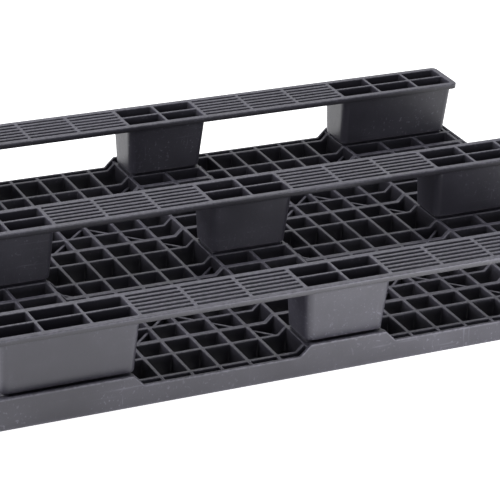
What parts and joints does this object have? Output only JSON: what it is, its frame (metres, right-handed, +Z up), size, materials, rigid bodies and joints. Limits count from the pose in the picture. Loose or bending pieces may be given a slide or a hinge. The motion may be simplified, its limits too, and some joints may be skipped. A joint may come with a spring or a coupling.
{
  "type": "plastic pallet",
  "caption": "Moulded plastic pallet, upside down: a ribbed open deck with three lengthwise skids on hollow tapered feet and fork ways from all sides.",
  "frame": {"origin": "middle of the load face, which lies on the floor: the pallet is stored upside down, as it lies in the picture", "axes": "+X along the three skids, which is the pallet's length; +Y across them, which is its width; +Z up, out of the skids' ground faces. Turned half a turn about X, the pallet stands on its skids."},
  "size_m": [1.2, 0.8, 0.15],
  "materials": {
    "deck_plastic": "dark charcoal moulded polyethylene, dull, with light scuffs on the worn edges",
    "skid_plastic": "dark charcoal moulded polyethylene, dull, with a soft sheen and worn ground faces",
    "screw_steel": "zinc-plated steel"
  },
  "bodies": {
    "root": {"deck": "deck_plastic", "skid_near": "skid_plastic", "skid_middle": "skid_plastic", "skid_far": "skid_plastic", "screw_near_left_1": "screw_steel", "screw_near_left_2": "screw_steel", "screw_near_centre_1": "screw_steel", "screw_near_centre_2": "screw_steel", "screw_near_right_1": "screw_steel", "screw_near_right_2": "screw_steel", "screw_middle_left_1": "screw_steel", "screw_middle_left_2": "screw_steel", "screw_middle_centre_1": "screw_steel", "screw_middle_centre_2": "screw_steel", "screw_middle_right_1": "screw_steel", "screw_middle_right_2": "screw_steel", "screw_far_left_1": "screw_steel", "screw_far_left_2": "screw_steel", "screw_far_centre_1": "screw_steel", "screw_far_centre_2": "screw_steel", "screw_far_right_1": "screw_steel", "screw_far_right_2": "screw_steel"}
  },
  "joints": []
}
